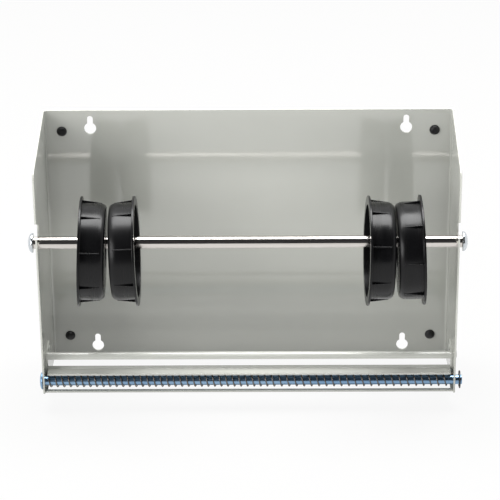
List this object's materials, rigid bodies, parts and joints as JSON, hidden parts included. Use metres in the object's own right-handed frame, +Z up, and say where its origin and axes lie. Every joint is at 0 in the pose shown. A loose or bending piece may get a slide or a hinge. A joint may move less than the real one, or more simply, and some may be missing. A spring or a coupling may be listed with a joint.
{
  "type": "wire marker dispenser",
  "caption": "Wall-hung folded sheet tray with keyholes, a lift-out axle carrying flanged reel hubs that turn, and a windowed front rail with a spring on a pin.",
  "frame": {"origin": "on the back face of the tray's plate, in the middle of the four keyholes", "axes": "+X along the axle to the right, +Y into the wall, +Z up"},
  "size_m": [0.3522, 0.1408, 0.228],
  "materials": {
    "tray_paint": "glossy light greenish-grey powder coat",
    "rail_paint": "glossy light grey powder coat",
    "rivet_metal": "painted over with the tray",
    "axle_plating": "bright plated and drawn",
    "screw_plating": "bright zinc",
    "hub_plastic": "glossy moulded black",
    "pin_plating": "blue zinc",
    "clip_finish": "black phosphate",
    "spring_wire": "brownish drawn wire",
    "bumper_rubber": "moulded black rubber"
  },
  "bodies": {
    "frame": {"tray": "tray_paint", "front_rail": "rail_paint", "rivet_left_front": "rivet_metal", "rivet_left_rear": "rivet_metal", "rivet_right_front": "rivet_metal", "rivet_right_rear": "rivet_metal", "bumper_upper_left": "bumper_rubber", "bumper_upper_right": "bumper_rubber", "bumper_lower_left": "bumper_rubber", "bumper_lower_right": "bumper_rubber", "grip_spring": "spring_wire"},
    "axle": {"axle_rod": "axle_plating", "axle_screw_left": "screw_plating", "axle_screw_right": "screw_plating"},
    "reel_hub_1": {"reel_hub_1": "hub_plastic"},
    "reel_hub_2": {"reel_hub_2": "hub_plastic"},
    "reel_hub_3": {"reel_hub_3": "hub_plastic"},
    "reel_hub_4": {"reel_hub_4": "hub_plastic"},
    "pin": {"grip_pin": "pin_plating", "grip_pin_head": "pin_plating", "pin_clip": "clip_finish"}
  },
  "joints": [
    {"name": "axle_lift_out", "type": "slide", "parent": "frame", "child": "axle", "axis": [0, -0.6202, 0.7844], "range_m": [0, 0.02]},
    {"name": "reel_hub_1_spin", "type": "hinge", "parent": "axle", "child": "reel_hub_1", "pos_m": [-0.11421, -0.09, 0.0288], "axis": [0.9992, 0.014, -0.0384], "continuous": true},
    {"name": "reel_hub_2_spin", "type": "hinge", "parent": "axle", "child": "reel_hub_2", "pos_m": [-0.10971, -0.09, 0.0288], "axis": [0.9995, 0.0052, 0.0314], "continuous": true},
    {"name": "reel_hub_3_spin", "type": "hinge", "parent": "axle", "child": "reel_hub_3", "pos_m": [0.11653, -0.09, 0.0288], "axis": [0.9993, 0.0279, -0.0244], "continuous": true},
    {"name": "reel_hub_4_spin", "type": "hinge", "parent": "axle", "child": "reel_hub_4", "pos_m": [0.11953, -0.09, 0.0288], "axis": [0.9992, 0.0227, 0.0314], "continuous": true},
    {"name": "grip_pin_spin", "type": "hinge", "parent": "frame", "child": "pin", "pos_m": [0, -0.0895, -0.088], "axis": [1, 0, 0], "continuous": true}
  ]
}
